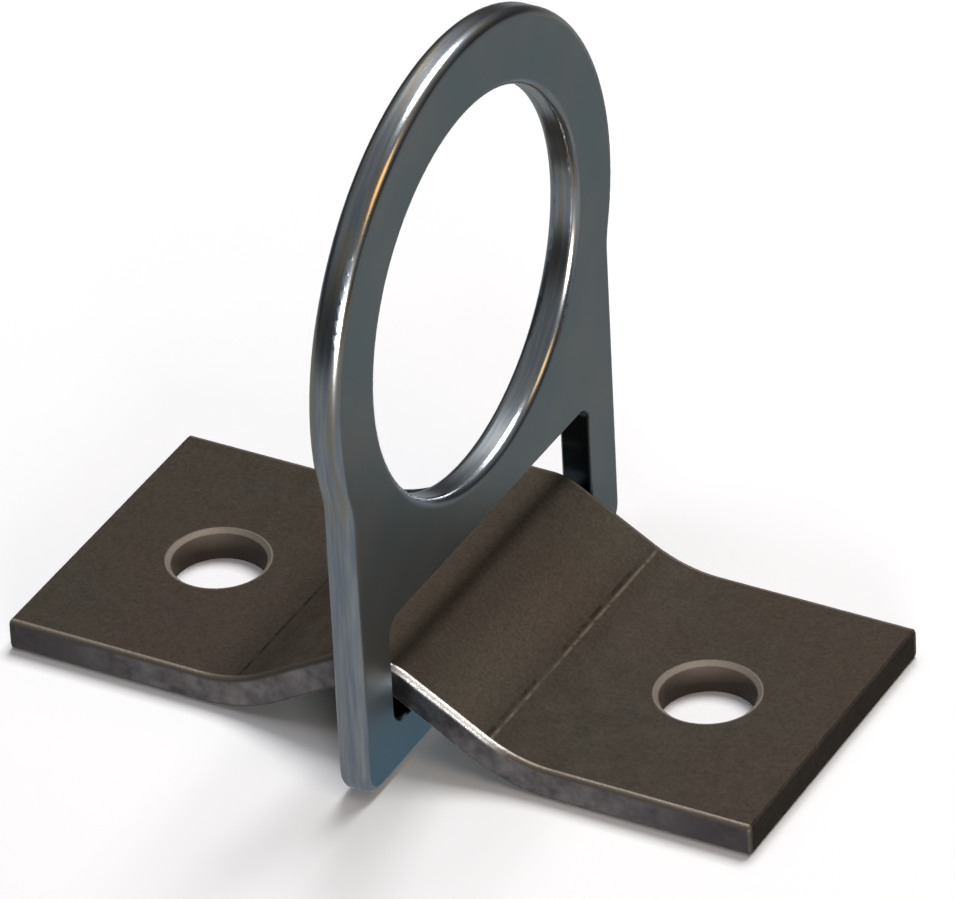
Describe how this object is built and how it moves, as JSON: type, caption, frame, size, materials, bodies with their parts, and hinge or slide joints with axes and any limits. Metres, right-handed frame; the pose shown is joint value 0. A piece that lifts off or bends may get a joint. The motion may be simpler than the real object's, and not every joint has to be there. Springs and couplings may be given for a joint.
{
  "type": "pivoting anchor ring",
  "caption": "Flat steel ring plate with a round eye and a slot, held captive by a bent bolt-down strap and free to tip to either side.",
  "frame": {"origin": "midway between the two bolt holes, on the mounting surface", "axes": "+X along the strap from one bolt hole to the other, +Y across the strap, +Z away from the mounting surface"},
  "size_m": [0.1142, 0.078, 0.0995],
  "materials": {
    "hot_rolled_steel": "hot-rolled flat bar with its mill scale, dull brown-grey",
    "zinc_plated_steel": "bright zinc plate, satin on the flats and bright on the rounded rim"
  },
  "bodies": {
    "strap": {"mounting_strap": "hot_rolled_steel"},
    "ring": {"ring_plate": "zinc_plated_steel"}
  },
  "joints": [
    {"name": "ring_pivot", "type": "hinge", "parent": "strap", "child": "ring", "pos_m": [0.00334, 0, 0.00423], "axis": [0, 1, 0], "range_deg": [-74, 80.5]}
  ]
}
